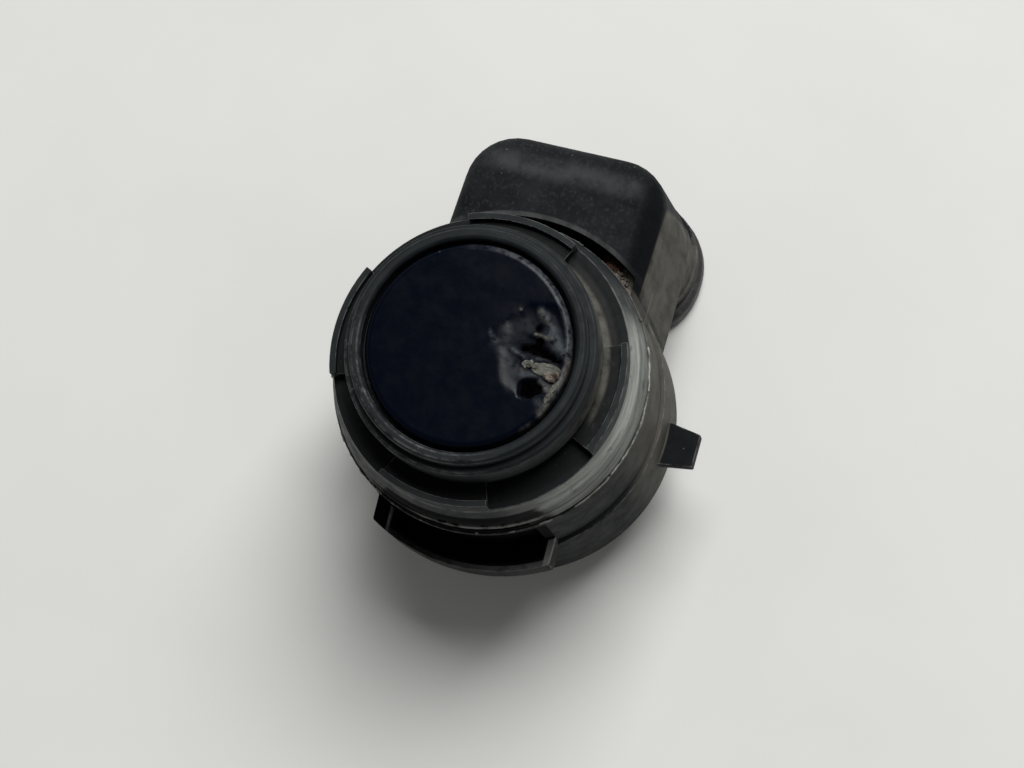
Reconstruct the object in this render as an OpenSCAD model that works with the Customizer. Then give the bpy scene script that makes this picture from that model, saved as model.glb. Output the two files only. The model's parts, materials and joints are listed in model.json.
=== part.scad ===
// Ultrasonic parking sensor: a round sensing head in a barrel housing with a connector at its side.
// Millimetres. The origin lies on the sensing axis, in the seating plane of the front ring's lips.
// +Z points out of the membrane, +Y points at the connector shroud.

/* [Membrane cup] */
// Diameter of the membrane face
membrane_d = 15.5; // [14.5:0.1:16.5]
// Height of the membrane face above the seating plane
membrane_h = 4.1; // [3.6:0.1:5]
// Thickness of the membrane face
membrane_t = 0.8; // [0.7:0.05:1.1]
// Rounding of the membrane's front edge
membrane_edge_r = 0.45; // [0.2:0.05:0.6]
// Side wall of the cup
cup_wall = 1.1; // [0.8:0.05:1.3]
// Depth of the cup from its face to its open end
cup_depth = 8.6; // [8:0.1:9.2]
// How far the cup's anchoring flange stands out
cup_flange_out = 0.7; // [0.4:0.05:0.9]
// Thickness of the anchoring flange
cup_flange_t = 1; // [0.7:0.05:1.4]

/* [Dent in the membrane] */
// Distance of the dent's middle from the axis along X
dent_x = 5.1; // [4.5:0.1:5.5]
// Distance of the dent's middle from the axis along Y
dent_y = 0.2; // [-1:0.1:1]
// Radius of the dent's rim
dent_r = 3.2; // [2.5:0.1:3.6]
// Depth of the dent
dent_depth = 0.5; // [0.3:0.05:0.6]
// Place of the puncture along X
puncture_x = 5.3; // [5:0.1:5.5]
// Place of the puncture along Y
puncture_y = -2.1; // [-2.4:0.1:-1.8]
// Radius of the puncture
puncture_r = 0.75; // [0.4:0.05:0.8]

/* [Transducer inside the cup] */
// Diameter of the piezo disc
piezo_d = 6.4; // [5:0.1:7]
// Thickness of the piezo disc
piezo_t = 0.5; // [0.3:0.05:0.8]
// Diameter of the two lead wires
lead_d = 0.4; // [0.3:0.05:0.6]
// Distance of the live wire from the axis, on the piezo disc
lead_live_x = 1.2; // [1:0.1:1.6]
// Distance of the return wire from the axis, on the bare cup
lead_return_x = 4.5; // [4:0.1:5]

/* [Decoupling ring] */
// Groove between the membrane and the ring
ring_gap = 0.3; // [0.2:0.05:0.4]
// Depth of that groove
ring_gap_depth = 1.3; // [0.8:0.1:2]
// How far the ring's face stands above the membrane
ring_proud = 0.1; // [0:0.05:0.3]
// Width of the ring's face
ring_face_w = 0.9; // [0.7:0.05:1.1]
// Chamfer on the edges of the ring's face
ring_chamfer = 0.22; // [0.1:0.02:0.3]
// How far the lip below the face stands out
lip_out = 0.6; // [0.4:0.05:0.8]
// Drop from the ring's face to the lip
lip_drop = 1.2; // [0.9:0.1:1.6]
// Small chamfer on the lip
lip_chamfer = 0.15; // [0.05:0.05:0.25]
// Relief of the ring where it runs inside the front ring
neck_relief = 0.4; // [0.3:0.05:0.5]
// How far the clamping flange of the ring stands out
ring_flange_out = 0.95; // [0.8:0.05:1.1]
// Thickness of the clamping flange
ring_flange_t = 1.3; // [1:0.1:1.6]
// Diameter of the opening in the ring's base for the lead wires
ring_base_d = 11; // [10.4:0.1:12]

/* [Front ring] */
// Diameter over the raised lips
front_d = 22.7; // [22.4:0.1:23]
// Thickness of a raised lip
front_lip_t = 0.5; // [0.4:0.05:0.7]
// Height of a lip above the floor behind it
front_lip_h = 0.6; // [0.4:0.05:0.9]
// Depth of the low sectors below the seating plane
front_low = 1.5; // [1.2:0.1:1.7]
// Number of raised sectors
sector_n = 4; // [3:1:5]
// Angle that a raised sector covers
sector_deg = 45; // [35:1:55]
// Turn of the raised sectors about the axis
sector_turn = -2.7; // [-6:0.1:6]
// Straight part of the outside above the cone
front_straight = 1.8; // [1.75:0.05:2.2]
// Widening of the cone, on the radius
cone_out = 0.7; // [0.5:0.05:0.8]
// Height of the cone
cone_h = 2.4; // [2:0.1:2.6]
// Width and depth of the line under the cone
cone_line = 0.15; // [0.1:0.05:0.25]
// Height of the front ring from the seam to the lips
front_h = 5.6; // [5.2:0.1:6]
// Length of the spigot below the seam
spigot_l = 2.4; // [2:0.1:2.8]
// Wall of the spigot
spigot_wall = 1.05; // [0.9:0.05:1.2]
// Height of each of the two slits over the clip pocket
slit_h = 0.45; // [0.3:0.05:0.5]
// Angle that the slits cover
slit_deg = 62; // [50:1:75]

/* [Housing barrel] */
// Diameter of the front part of the barrel
barrel_front_d = 24.8; // [24.6:0.1:25]
// Diameter of the rear part of the barrel
barrel_rear_d = 25.5; // [25.4:0.1:26]
// Distance of the step in the barrel below the seating plane
barrel_step = 13; // [12.6:0.1:13.3]
// Distance of the barrel's rear edge below the seating plane
barrel_rear = 22; // [21.4:0.1:23]
// Seam left between the front ring and the housing
seam_gap = 0.1; // [0.05:0.01:0.15]
// Partition between the transducer and the circuit board
partition_t = 1.4; // [1.1:0.1:1.8]
// Diameter of the chamber in front of the board
chamber_front_d = 19.2; // [18.8:0.1:19.6]
// Diameter of the chamber behind the board's ledge
chamber_rear_d = 21.2; // [20.9:0.1:21.6]
// Distance of the board's ledge below the seating plane
board_ledge = 13.6; // [13.4:0.1:14]
// Chamfer on the barrel's rear edge
barrel_chamfer = 0.4; // [0.2:0.05:0.6]

/* [Connector shroud] */
// Width of the shroud at its front
shroud_w = 16.7; // [16.2:0.1:17.4]
// Sideways offset of the shroud
shroud_offset = 0.85; // [0:0.05:1.2]
// Distance of the shroud's far side from the axis, at its front
shroud_reach = 20.2; // [19.8:0.1:21]
// Depth of the shroud at its mouth, from its far side towards the axis
shroud_depth = 9; // [8.6:0.1:9.4]
// Distance of the shroud's front face below the seating plane
shroud_front = 8; // [7.6:0.1:8.6]
// Distance of the shroud's mouth below the seating plane
shroud_mouth = 27.3; // [26.6:0.1:28.5]
// Corner radius of the shroud
shroud_corner_r = 4.2; // [3.6:0.1:4.4]
// How far the shroud's sides flare out from its front to its free end
shroud_flare = 0.65; // [0.5:0.05:0.75]
// Rounding of the shroud's front edge on its far side
shroud_edge_r = 2.2; // [1.6:0.1:2.6]
// Rounding of the shroud's front edges where they reach the barrel
neck_edge_r = 0.6; // [0.4:0.05:1]
// Depth to which the shroud's neck runs into the barrel, from the axis
neck_near = 7.4; // [7:0.1:7.8]
// Distance of the neck's rear edge below the seating plane
neck_rear = 21.2; // [20.6:0.1:21.8]
// Wall of the shroud
shroud_wall = 1.7; // [1.4:0.1:1.9]
// How far the rim round the shroud's end stands out
rim_out = 0.25; // [0.15:0.05:0.4]
// Height of that rim
rim_h = 1; // [0.6:0.1:1.4]
// Radius of the arc gap between the barrel and the shroud's front
arc_gap_r = 13.55; // [13.3:0.05:13.8]
// Depth of the arc gap below the shroud's front face
arc_gap_depth = 4.6; // [4:0.1:4.9]
// Wall that closes the arc gap at each flank
arc_gap_wall = 0.8; // [0.6:0.05:1]
// Distance of the flank groove below the shroud's front face
flank_groove_drop = 4; // [3.6:0.1:4.4]
// Distance from the axis to the end of the flank groove
flank_groove_reach = 10.7; // [10.2:0.1:11.2]
// Width and depth of the flank groove
flank_groove = 0.25; // [0.15:0.05:0.3]

/* [Connector socket] */
// Distance of the socket's floor below the seating plane
socket_floor = 18; // [17.8:0.1:18.6]
// Corner radius inside the socket
socket_corner_r = 1.6; // [1.2:0.1:1.9]
// Side of a square terminal
terminal_s = 0.64; // [0.5:0.02:0.8]
// Spacing of the terminals
terminal_pitch = 3.5; // [3:0.1:3.8]
// Distance of the terminals in the socket from the shroud's far side
terminal_y = 4.5; // [4.2:0.1:4.8]
// Distance of the terminal tips below the seating plane
terminal_tip = 24.6; // [24:0.1:25.4]
// Distance of the terminals' cross run below the seating plane
terminal_run = 16.8; // [16.4:0.1:17.2]
// Distance of the terminals' board ends from the axis
terminal_board_y = 7.9; // [7.7:0.1:8.2]

/* [Connector collar] */
// Height of the collar on the shroud's mouth
collar_h = 2; // [1.6:0.1:2.4]
// How far the collar stands out past the shroud
collar_out = 1.3; // [1:0.05:1.5]
// Step in the shroud's wall that the collar sits on
collar_seat = 0.6; // [0.4:0.05:0.8]
// Open groove between the shroud and the collar
collar_groove = 0.3; // [0.2:0.05:0.4]
// Step along the collar's outer edges
collar_step = 0.4; // [0.3:0.05:0.6]

/* [Latch pocket] */
// Half width of the pocket
pocket_half_w = 7.3; // [7:0.1:7.6]
// Radius of the pocket's outer wall
pocket_r = 14.3; // [14.1:0.05:14.6]
// Wall of the pocket
pocket_wall = 0.7; // [0.6:0.05:0.85]
// Thicker wall on the pocket's left side
pocket_left_wall = 1.4; // [1.2:0.05:1.6]
// Distance of the pocket's front at the barrel below the seating plane
pocket_root_front = 11.2; // [10.8:0.1:11.4]
// Distance of the outer wall's front edge below the seating plane
pocket_tip_front = 11.6; // [11.4:0.1:12]
// Height of the outer wall along the axis
pocket_band = 2.6; // [2.2:0.1:3]
// Thickness of the pocket's floor
pocket_floor_t = 0.6; // [0.5:0.05:0.8]
// Radius of the recess in the barrel behind the pocket
recess_r = 11.75; // [11.7:0.05:11.9]
// Bridge left over the recess at the barrel's front
recess_bridge = 0.5; // [0.4:0.05:0.8]

/* [Side lugs] */
// Width of a lug at its root inside the barrel's wall
lug_root_w = 4.2; // [3.8:0.1:4.6]
// Width of a lug at its tip
lug_tip_w = 2.7; // [2.4:0.1:3]
// Distance of a lug's tip from the axis
lug_reach = 15.4; // [15:0.1:16]
// Distance of a lug's front face below the seating plane
lug_front = 16.3; // [16:0.1:17]
// Thickness of a lug along the axis
lug_t = 1.2; // [1:0.1:1.6]

/* [Circuit board] */
// Diameter of the board
board_d = 20.8; // [20.6:0.1:20.8]
// Thickness of the board
board_t = 1.2; // [1:0.1:1.6]
// Clearance round what passes through the board and the foam
pass_gap = 0.1; // [0.05:0.01:0.15]
// Depth of the sealing resin's face inside the barrel's rear edge
resin_recess = 0.5; // [0.3:0.1:1]
// Side of the transformer's core
core_s = 5.6; // [5:0.1:5.8]
// Height of the transformer
core_h = 3.4; // [3:0.1:3.6]
// Thickness of the core's two end plates
core_plate = 0.7; // [0.5:0.05:0.8]
// Diameter of the core's middle post
core_post_d = 2.2; // [2:0.1:2.6]
// Wall of the bobbin tube and thickness of its flanges
bobbin_t = 0.25; // [0.2:0.05:0.35]
// Diameter over the winding
winding_d = 4.8; // [4.4:0.1:5]
// Place of the transformer on the board, the same along X and against Y
core_at = 3.7; // [3.7:0.05:3.8]
// Diameter of the buffer capacitor
capacitor_d = 5; // [4:0.1:5.2]
// Height of the buffer capacitor
capacitor_h = 3.5; // [3:0.1:3.6]
// Place of the buffer capacitor along X and Y
capacitor_at = [-4.2, -4.6]; // [-5:0.1:5]
// Size of the control chip's body
chip_size = [5, 6, 1.4]; // [1:0.1:6]
// Place of the control chip's middle
chip_at = [-3.2, 4.2]; // [-5:0.1:5]
// Size of one chip capacitor
chip_cap_size = [2, 1.25, 1.2]; // [0.4:0.05:2.4]
// Place of the first chip capacitor
chip_cap_at = [2.2, 2.4]; // [-5:0.1:5]
// Size of one chip resistor
chip_res_size = [1.6, 0.8, 0.5]; // [0.3:0.05:2]
// Place of the first chip resistor
chip_res_at = [5.4, 2.4]; // [-6:0.1:6]
// Number of chips in each row
chip_row_n = 3; // [2:1:3]
// Spacing of the chips in a row
chip_row_pitch = 1.9; // [1.6:0.1:2]
// Size of the protection diode
diode_size = [2.4, 1.6, 1.2]; // [0.8:0.1:2.8]
// Place of the protection diode's middle
diode_at = [7.2, 0.2]; // [-8:0.1:8]

/* [Hidden] */
$fn = 96;
// Running clearance of round fits, and overlap of cuts past a face
fit_gap = 0.05;
cut = 1;
// Number of terminals
terminal_n = 3;

membrane_r = membrane_d / 2;
cup_end_z = membrane_h - cup_depth;
cup_in_r = membrane_r - cup_wall;
cup_flange_r = membrane_r + cup_flange_out;
face_in_z = membrane_h - membrane_t;
dent_sphere_r = (dent_r * dent_r + dent_depth * dent_depth) / (2 * dent_depth);

ring_top_z = membrane_h + ring_proud;
ring_in_r = membrane_r + ring_gap;
ring_top_r = ring_in_r + ring_face_w;
head_r = ring_top_r + lip_out;
lip_z = ring_top_z - lip_drop;
neck_r = head_r - neck_relief;
ring_flange_r = neck_r + ring_flange_out;

front_r = front_d / 2;
front_bore_r = neck_r + fit_gap;
floor_z = -front_lip_h;
low_z = -front_low;
cone_r = front_r + cone_out;
cone_z = -front_straight - cone_h;
seam_z = -front_h;
spigot_in_r = ring_flange_r + fit_gap;
spigot_r = spigot_in_r + spigot_wall;
ledge_z = seam_z - spigot_l;
flange_top_z = ledge_z + ring_flange_t;

barrel_front_r = barrel_front_d / 2;
barrel_rear_r = barrel_rear_d / 2;
barrel_top_z = seam_z - seam_gap;
partition_z = ledge_z - partition_t;
board_z = -board_ledge;
board_back_z = board_z - board_t;
rear_z = -barrel_rear;
resin_z = rear_z + resin_recess;
chamber_rear_r = chamber_rear_d / 2;

shroud_near = shroud_reach - shroud_depth;
flank_x = shroud_w / 2;
shroud_z = -shroud_front;
mouth_z = -shroud_mouth;
neck_rear_z = -neck_rear;
seat_top_z = mouth_z + collar_h + collar_groove;
blade_y = shroud_reach - terminal_y;
pocket_root_y = -sqrt(barrel_front_r * barrel_front_r - pocket_half_w * pocket_half_w);
pocket_tip_y = -sqrt(pocket_r * pocket_r - pocket_half_w * pocket_half_w);
pocket_rear_z = -pocket_tip_front - pocket_band;
pocket_floor_z = pocket_rear_z + pocket_floor_t;
piezo_back_z = face_in_z - piezo_t;
post_z = board_z + core_plate;
winding_h = core_h - 2 * core_plate;

// A ring between two radii and two heights
module tube(r_out, r_in, z_low, z_high) {
  translate([0, 0, z_low])
    difference() {
      cylinder(r = r_out, h = z_high - z_low);
      translate([0, 0, -cut])
        cylinder(r = r_in, h = z_high - z_low + 2 * cut);
    }
}

// A rounded rectangle in the plane, centred on X, from y_low to y_high
module rounded_plan(w, y_low, y_high, r) {
  for (side = [-1, 1], y = [y_low + r, y_high - r])
    translate([side * (w / 2 - r), y])
      circle(r = r);
  translate([-w / 2, y_low + r])
    square([w, y_high - y_low - 2 * r]);
  translate([-w / 2 + r, y_low])
    square([w - 2 * r, y_high - y_low]);
}

// The same rectangle as a prism at the shroud's offset, pulled in by an inset on all sides
module shroud_prism(inset, z_low, z_high) {
  translate([shroud_offset, 0, z_low])
    linear_extrude(z_high - z_low)
      rounded_plan(shroud_w - 2 * inset, shroud_near + inset, shroud_reach - inset,
        shroud_corner_r - inset);
}

// A pie slice of the plane round a given direction
module sector(deg, middle, r) {
  half = deg / 2;
  reach = r / cos(half);
  polygon([[0, 0],
    [reach * cos(middle - half), reach * sin(middle - half)],
    [reach * cos(middle), reach * sin(middle)],
    [reach * cos(middle + half), reach * sin(middle + half)]]);
}

// A small block that stands on the board's front face
module board_block(size, at) {
  translate([at[0] - size[0] / 2, at[1] - size[1] / 2, board_z])
    cube(size);
}

// One terminal: a blade in the socket, a cross run through the wall and an end in the board
module terminal(i) {
  x = shroud_offset + (i - (terminal_n - 1) / 2) * terminal_pitch - terminal_s / 2;
  run_z = -terminal_run;
  translate([x, blade_y - terminal_s / 2, -terminal_tip])
    cube([terminal_s, terminal_s, terminal_tip - terminal_run]);
  translate([x, terminal_board_y - terminal_s / 2, run_z])
    cube([terminal_s, blade_y - terminal_board_y + terminal_s, terminal_s]);
  translate([x, terminal_board_y - terminal_s / 2, run_z])
    cube([terminal_s, terminal_s, board_z - run_z]);
}

module all_terminals() {
  for (i = [0 : terminal_n - 1])
    terminal(i);
}

// A lead wire between two heights
module lead(x, z_high, d) {
  translate([x, 0, board_back_z])
    cylinder(d = d, h = z_high - board_back_z, $fn = 32);
}

module both_leads(d) {
  lead(lead_live_x, piezo_back_z, d);
  lead(-lead_return_x, face_in_z, d);
}

// The shroud's plan as a prism, let out at its far side and flanks
module shroud_end(out, z_low, z_high) {
  translate([shroud_offset, 0, z_low])
    linear_extrude(z_high - z_low)
      rounded_plan(shroud_w + 2 * out, shroud_near, shroud_reach + out, shroud_corner_r + out);
}

// One corner of the shroud, flared to the rear, with its front edge rounded
module shroud_corner(x, y, r, edge_r) {
  translate([shroud_offset + x, y, 0]) {
    translate([0, 0, shroud_z - edge_r])
      rotate_extrude($fn = 32)
        intersection() {
          translate([r - edge_r, 0])
            circle(r = edge_r, $fn = 32);
          translate([0, -edge_r])
            square([r, 2 * edge_r]);
        }
    translate([0, 0, neck_rear_z])
      cylinder(r1 = r + shroud_flare, r2 = r, h = shroud_z - edge_r - neck_rear_z, $fn = 32);
  }
}

// Outside of the connector shroud: the neck that joins the barrel, then the free end with its rim
module shroud_shell() {
  hull()
    for (side = [-1, 1]) {
      far_x = side * (flank_x - shroud_corner_r);
      shroud_corner(far_x, shroud_reach - shroud_corner_r, shroud_corner_r, shroud_edge_r);
      shroud_corner(side * (flank_x - neck_edge_r), neck_near + neck_edge_r, neck_edge_r, neck_edge_r);
    }
  shroud_end(shroud_flare, seat_top_z, neck_rear_z + cut);
  shroud_end(shroud_flare + rim_out, seat_top_z, seat_top_z + rim_h);
}

// Socket of the connector, open at the mouth
module socket_space() {
  translate([0, 0, -shroud_mouth - cut])
    linear_extrude(shroud_mouth - socket_floor + cut)
      translate([shroud_offset, 0])
        rounded_plan(shroud_w - 2 * shroud_wall, shroud_near + shroud_wall, shroud_reach - shroud_wall,
          socket_corner_r);
}

// Arc-shaped gap between the barrel and the shroud's front, closed at both flanks
module arc_gap() {
  intersection() {
    translate([0, 0, shroud_z - arc_gap_depth])
      cylinder(r = arc_gap_r, h = arc_gap_depth + cut);
    translate([shroud_offset - flank_x + arc_gap_wall, 0, shroud_z - arc_gap_depth])
      cube([shroud_w - 2 * arc_gap_wall, shroud_reach, arc_gap_depth + cut]);
  }
}

// Plan of the latch pocket, pulled in by an inset
module pocket_plan(inset) {
  w = pocket_half_w - inset;
  intersection() {
    circle(r = pocket_r - inset);
    translate([-w, -pocket_r])
      square([2 * w, pocket_r - recess_r / 2]);
  }
}

// Outside of the latch pocket: its sides slant a little at the front, its outer wall is level
module latch_pocket() {
  far_y = -pocket_r - cut;
  near_y = -recess_r / 2;
  intersection() {
    translate([0, 0, pocket_rear_z])
      linear_extrude(-pocket_root_front - pocket_rear_z)
        pocket_plan(0);
    rotate([90, 0, 90])
      translate([0, 0, -pocket_half_w - cut])
        linear_extrude(2 * pocket_half_w + 2 * cut)
          polygon([[near_y, -pocket_root_front], [pocket_root_y, -pocket_root_front],
            [pocket_tip_y, -pocket_tip_front], [far_y, -pocket_tip_front],
            [far_y, pocket_rear_z - cut], [near_y, pocket_rear_z - cut]]);
  }
}

// Inside of the latch pocket and the recess in the barrel behind it
module pocket_space() {
  translate([0, 0, pocket_floor_z])
    linear_extrude(barrel_top_z - recess_bridge - pocket_floor_z)
      difference() {
        pocket_plan(pocket_wall);
        circle(r = recess_r);
        translate([-pocket_half_w - cut, -pocket_r - cut])
          square([pocket_left_wall + cut, pocket_r]);
      }
}

module barrel_shell() {
  rotate_extrude()
    polygon([[0, rear_z], [barrel_rear_r - barrel_chamfer, rear_z],
      [barrel_rear_r, rear_z + barrel_chamfer],
      [barrel_rear_r, -barrel_step], [barrel_front_r, -barrel_step], [barrel_front_r, barrel_top_z],
      [0, barrel_top_z]]);
}

module lugs() {
  for (side = [0, 1])
    mirror([side, 0, 0])
      translate([0, 0, -lug_front - lug_t])
        linear_extrude(lug_t)
          polygon([[chamber_rear_r, -lug_root_w / 2], [lug_reach, -lug_tip_w / 2],
            [lug_reach, lug_tip_w / 2], [chamber_rear_r, lug_root_w / 2]]);
}

// Chambers, seats and openings inside the barrel
module barrel_space() {
  translate([0, 0, ledge_z])
    cylinder(r = spigot_r + fit_gap, h = -ledge_z);
  translate([0, 0, partition_z - cut])
    cylinder(d = ring_base_d, h = partition_t + 2 * cut);
  translate([0, 0, board_z])
    cylinder(d = chamber_front_d, h = partition_z - board_z);
  translate([0, 0, rear_z - cut])
    cylinder(d = chamber_rear_d, h = board_z - rear_z + cut);
}

// Short groove across each flank of the shroud, next to the barrel
module flank_grooves() {
  for (side = [-1, 1])
    translate([shroud_offset + side * flank_x - flank_groove, 0, shroud_z - flank_groove_drop])
      cube([2 * flank_groove, flank_groove_reach, flank_groove]);
}

module housing() {
  color([0.13, 0.135, 0.14])
    difference() {
      union() {
        barrel_shell();
        lugs();
        latch_pocket();
        difference() {
          shroud_shell();
          arc_gap();
          flank_grooves();
        }
        shroud_prism(collar_seat, mouth_z, seat_top_z + cut);
      }
      barrel_space();
      socket_space();
      all_terminals();
      pocket_space();
    }
}

module front_ring() {
  color([0.2, 0.205, 0.21])
    difference() {
      rotate_extrude()
        polygon([[front_bore_r, floor_z], [front_r - front_lip_t, floor_z], [front_r - front_lip_t, 0],
          [front_r, 0], [front_r, -front_straight], [cone_r, cone_z], [cone_r - cone_line, cone_z],
          [cone_r - cone_line, cone_z - cone_line], [cone_r, cone_z - cone_line],
          [barrel_front_r - cone_line, seam_z], [spigot_r, seam_z], [spigot_r, ledge_z],
          [spigot_in_r, ledge_z], [spigot_in_r, flange_top_z], [front_bore_r, flange_top_z]]);
      translate([0, 0, low_z])
        linear_extrude(-low_z + cut)
          for (i = [0 : sector_n - 1])
            sector(360 / sector_n - sector_deg, sector_turn + (i + 0.5) * 360 / sector_n, 2 * front_r);
      for (k = [0, 1])
        intersection() {
          translate([0, 0, seam_z + slit_h / 2 + 2 * k * slit_h])
            difference() {
              cylinder(r = 2 * front_r, h = slit_h);
              translate([0, 0, -cut])
                cylinder(r = spigot_r, h = slit_h + 2 * cut);
            }
          translate([0, 0, seam_z])
            linear_extrude(front_h)
              sector(slit_deg, -90, 2 * front_r);
        }
    }
}

module decoupling_ring() {
  color([0.16, 0.165, 0.165])
    rotate_extrude()
      polygon([[ring_in_r + ring_chamfer, ring_top_z], [ring_top_r - ring_chamfer, ring_top_z],
        [ring_top_r, ring_top_z - ring_chamfer], [ring_top_r, lip_z], [head_r - lip_chamfer, lip_z],
        [head_r, lip_z - lip_chamfer], [head_r, 0], [neck_r, 0], [neck_r, flange_top_z],
        [ring_flange_r, flange_top_z], [ring_flange_r, ledge_z], [ring_base_d / 2, ledge_z],
        [ring_base_d / 2, cup_end_z - fit_gap], [cup_flange_r + fit_gap, cup_end_z - fit_gap],
        [cup_flange_r + fit_gap, cup_end_z + cup_flange_t + fit_gap],
        [membrane_r + fit_gap, cup_end_z + cup_flange_t + fit_gap],
        [membrane_r + fit_gap, ring_top_z - ring_gap_depth], [ring_in_r, ring_top_z - ring_gap_depth],
        [ring_in_r, ring_top_z - ring_chamfer]]);
}

module membrane_cup() {
  color([0.05, 0.06, 0.1])
    difference() {
      rotate_extrude() {
        polygon([[0, face_in_z], [cup_in_r, face_in_z], [cup_in_r, cup_end_z], [cup_flange_r, cup_end_z],
          [cup_flange_r, cup_end_z + cup_flange_t], [membrane_r, cup_end_z + cup_flange_t],
          [membrane_r, membrane_h - membrane_edge_r], [membrane_r - membrane_edge_r, membrane_h],
          [0, membrane_h]]);
        translate([membrane_r - membrane_edge_r, membrane_h - membrane_edge_r])
          intersection() {
            circle(r = membrane_edge_r);
            square(membrane_edge_r);
          }
      }
      translate([dent_x, dent_y, membrane_h - dent_depth + dent_sphere_r])
        sphere(r = dent_sphere_r);
      translate([puncture_x, puncture_y, face_in_z - fit_gap])
        cylinder(r = puncture_r, h = membrane_t + cut, $fn = 32);
    }
}

module piezo_disc() {
  color([0.78, 0.74, 0.62])
    translate([0, 0, piezo_back_z])
      cylinder(d = piezo_d, h = piezo_t);
}

module damping_foam() {
  color([0.55, 0.55, 0.5])
    difference() {
      translate([0, 0, cup_end_z])
        cylinder(r = cup_in_r - fit_gap, h = face_in_z - cup_end_z);
      translate([0, 0, piezo_back_z])
        cylinder(d = piezo_d + 2 * fit_gap, h = piezo_t + cut);
      both_leads(lead_d + 2 * pass_gap);
    }
}

module lead_wire_live() {
  color([0.75, 0.2, 0.15])
    lead(lead_live_x, piezo_back_z, lead_d);
}

module lead_wire_return() {
  color([0.2, 0.2, 0.22])
    lead(-lead_return_x, face_in_z, lead_d);
}

module circuit_board() {
  color([0.1, 0.32, 0.2])
    difference() {
      translate([0, 0, board_back_z])
        cylinder(d = board_d, h = board_t);
      both_leads(lead_d + 2 * pass_gap);
      all_terminals();
    }
}

module control_chip() {
  color([0.1, 0.1, 0.11])
    board_block(chip_size, chip_at);
}

module transformer_core() {
  color([0.25, 0.25, 0.27])
    translate([core_at, -core_at, board_z]) {
      translate([-core_s / 2, -core_s / 2, 0])
        cube([core_s, core_s, core_plate]);
      cylinder(d = core_post_d, h = core_h, $fn = 48);
      translate([-core_s / 2, -core_s / 2, core_h - core_plate])
        cube([core_s, core_s, core_plate]);
    }
}

module transformer_bobbin() {
  bore_r = core_post_d / 2 + fit_gap;
  color([0.8, 0.78, 0.7])
    translate([core_at, -core_at, 0]) {
      tube(bore_r + bobbin_t, bore_r, post_z, post_z + winding_h);
      tube(winding_d / 2, bore_r, post_z, post_z + bobbin_t);
      tube(winding_d / 2, bore_r, post_z + winding_h - bobbin_t, post_z + winding_h);
    }
}

module transformer_winding() {
  color([0.72, 0.4, 0.2])
    translate([core_at, -core_at, 0])
      tube(winding_d / 2, core_post_d / 2 + fit_gap + bobbin_t, post_z + bobbin_t,
        post_z + winding_h - bobbin_t);
}

module buffer_capacitor() {
  color([0.7, 0.7, 0.72])
    translate([capacitor_at[0], capacitor_at[1], board_z])
      cylinder(d = capacitor_d, h = capacitor_h);
}

module chip_row(size, at) {
  for (i = [0 : chip_row_n - 1])
    board_block(size, [at[0], at[1] + i * chip_row_pitch]);
}

module chip_capacitors() {
  color([0.62, 0.5, 0.36])
    chip_row(chip_cap_size, chip_cap_at);
}

module chip_resistors() {
  color([0.14, 0.14, 0.15])
    chip_row(chip_res_size, chip_res_at);
}

module protection_diode() {
  color([0.12, 0.12, 0.13])
    board_block(diode_size, diode_at);
}

module terminal_supply() {
  color([0.78, 0.7, 0.45])
    terminal(0);
}

module terminal_signal() {
  color([0.78, 0.7, 0.45])
    terminal(1);
}

module terminal_ground() {
  color([0.78, 0.7, 0.45])
    terminal(2);
}

module sealing_resin() {
  color([0.09, 0.09, 0.095])
    difference() {
      translate([0, 0, resin_z])
        cylinder(r = chamber_rear_r, h = board_back_z - resin_z);
      all_terminals();
    }
}

module connector_collar() {
  color([0.07, 0.07, 0.075])
    difference() {
      union() {
        shroud_prism(-collar_out, mouth_z + collar_step, mouth_z + collar_h - collar_step);
        shroud_prism(collar_step - collar_out, mouth_z, mouth_z + collar_h);
      }
      shroud_prism(collar_seat, mouth_z - cut, mouth_z + collar_h + cut);
    }
}

housing();
front_ring();
decoupling_ring();
membrane_cup();
piezo_disc();
damping_foam();
lead_wire_live();
lead_wire_return();
circuit_board();
control_chip();
transformer_core();
transformer_bobbin();
transformer_winding();
buffer_capacitor();
chip_capacitors();
chip_resistors();
protection_diode();
terminal_supply();
terminal_signal();
terminal_ground();
sealing_resin();
connector_collar();
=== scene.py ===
"""Looks of a worn ultrasonic parking sensor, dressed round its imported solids."""

import json
import random
from math import atan2, cos, degrees, hypot, pi, radians, sin, sqrt

import bmesh
import bpy
from bpy.props import FloatProperty, FloatVectorProperty, IntProperty, PointerProperty
from mathutils import Matrix, Vector, noise


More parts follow.
